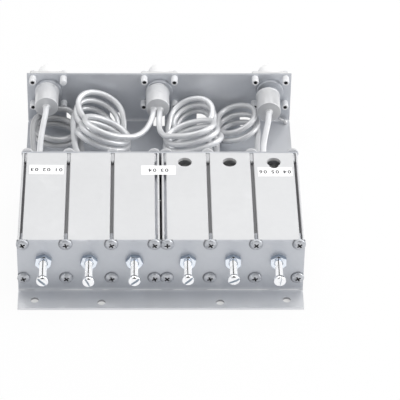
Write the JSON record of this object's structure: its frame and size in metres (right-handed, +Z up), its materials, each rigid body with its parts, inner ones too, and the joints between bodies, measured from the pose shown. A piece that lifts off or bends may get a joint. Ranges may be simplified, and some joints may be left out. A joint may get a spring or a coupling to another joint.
{
  "type": "cavity duplexer",
  "caption": "Flat duplexer: two extruded resonator blocks between a front plate with a mounting foot and a rear tray with three coaxial jacks and coiled cables.",
  "frame": {"origin": "centre of the bounding box at its base, the plane the foot and the tray rest on", "axes": "+Z up, the tuning screws face -Y and the jacks face +Y, X across the three jacks"},
  "size_m": [0.1842, 0.2262, 0.0441],
  "materials": {
    "grey_paint": "semi_gloss",
    "zinc_plate": "brushed",
    "screw_steel": "brushed",
    "nickel_plate": "polished",
    "cable_paint": "semi_gloss",
    "insulator_white": "matte",
    "contact_brass": "satin",
    "copper_wire": "satin",
    "label_paper": "matte"
  },
  "bodies": {
    "case": {"cavity_block_left": "grey_paint", "cavity_block_right": "grey_paint", "clinch_nuts": "screw_steel", "coil_former_1": "insulator_white", "coil_former_2": "insulator_white", "coil_former_3": "insulator_white", "coil_former_4": "insulator_white", "coil_former_5": "insulator_white", "coil_former_6": "insulator_white", "coupling_cable_1_2": "cable_paint", "coupling_cable_2_3": "cable_paint", "coupling_cable_4_5": "cable_paint", "coupling_cable_5_6": "cable_paint", "front_plate": "grey_paint", "front_plate_screws": "zinc_plate", "jack_body_left": "nickel_plate", "jack_body_middle": "nickel_plate", "jack_body_right": "nickel_plate", "jack_contact_left": "contact_brass", "jack_contact_middle": "contact_brass", "jack_contact_right": "contact_brass", "jack_hood_left": "cable_paint", "jack_hood_middle": "cable_paint", "jack_hood_right": "cable_paint", "jack_insulator_left": "insulator_white", "jack_insulator_middle": "insulator_white", "jack_insulator_right": "insulator_white", "jack_rivets": "zinc_plate", "label_left": "label_paper", "label_middle": "label_paper", "label_right": "label_paper", "left_port_cable": "cable_paint", "middle_port_cable_left": "cable_paint", "middle_port_cable_right": "cable_paint", "rear_plate_screws": "cable_paint", "rear_tray": "grey_paint", "resonator_coil_1": "copper_wire", "resonator_coil_2": "copper_wire", "resonator_coil_3": "copper_wire", "resonator_coil_4": "copper_wire", "resonator_coil_5": "copper_wire", "resonator_coil_6": "copper_wire", "right_port_cable": "cable_paint", "stuck_rivet_stem": "cable_paint", "tap_wires": "copper_wire"},
    "screw_1": {"tuning_screw_1": "screw_steel"},
    "nut_1": {"lock_nut_1": "zinc_plate"},
    "screw_2": {"tuning_screw_2": "screw_steel"},
    "nut_2": {"lock_nut_2": "zinc_plate"},
    "screw_3": {"tuning_screw_3": "screw_steel"},
    "nut_3": {"lock_nut_3": "zinc_plate"},
    "screw_4": {"tuning_screw_4": "screw_steel"},
    "nut_4": {"lock_nut_4": "zinc_plate"},
    "screw_5": {"tuning_screw_5": "screw_steel"},
    "nut_5": {"lock_nut_5": "zinc_plate"},
    "screw_6": {"tuning_screw_6": "screw_steel"},
    "nut_6": {"lock_nut_6": "zinc_plate"}
  },
  "joints": [
    {"name": "tuning_travel_1", "type": "slide", "parent": "case", "child": "screw_1", "axis": [0, 1, 0], "range_m": [-0.018, 0.0151]},
    {"name": "lock_turn_1", "type": "hinge", "parent": "case", "child": "nut_1", "pos_m": [-0.07535, -0.0922, 0.0264], "axis": [0, 1, 0], "range_deg": [-180, 180]},
    {"name": "tuning_travel_2", "type": "slide", "parent": "case", "child": "screw_2", "axis": [0, 1, 0], "range_m": [-0.018, 0.0157]},
    {"name": "lock_turn_2", "type": "hinge", "parent": "case", "child": "nut_2", "pos_m": [-0.0462, -0.0922, 0.0264], "axis": [0, 1, 0], "range_deg": [-180, 180]},
    {"name": "tuning_travel_3", "type": "slide", "parent": "case", "child": "screw_3", "axis": [0, 1, 0], "range_m": [-0.018, 0.0149]},
    {"name": "lock_turn_3", "type": "hinge", "parent": "case", "child": "nut_3", "pos_m": [-0.01705, -0.0922, 0.0264], "axis": [0, 1, 0], "range_deg": [-180, 180]},
    {"name": "tuning_travel_4", "type": "slide", "parent": "case", "child": "screw_4", "axis": [0, 1, 0], "range_m": [-0.018, 0.014]},
    {"name": "lock_turn_4", "type": "hinge", "parent": "case", "child": "nut_4", "pos_m": [0.01705, -0.0922, 0.0264], "axis": [0, 1, 0], "range_deg": [-180, 180]},
    {"name": "tuning_travel_5", "type": "slide", "parent": "case", "child": "screw_5", "axis": [0, 1, 0], "range_m": [-0.018, 0.0138]},
    {"name": "lock_turn_5", "type": "hinge", "parent": "case", "child": "nut_5", "pos_m": [0.0462, -0.0922, 0.0264], "axis": [0, 1, 0], "range_deg": [-180, 180]},
    {"name": "tuning_travel_6", "type": "slide", "parent": "case", "child": "screw_6", "axis": [0, 1, 0], "range_m": [-0.018, 0.015]},
    {"name": "lock_turn_6", "type": "hinge", "parent": "case", "child": "nut_6", "pos_m": [0.07535, -0.0922, 0.0264], "axis": [0, 1, 0], "range_deg": [-180, 180]}
  ]
}
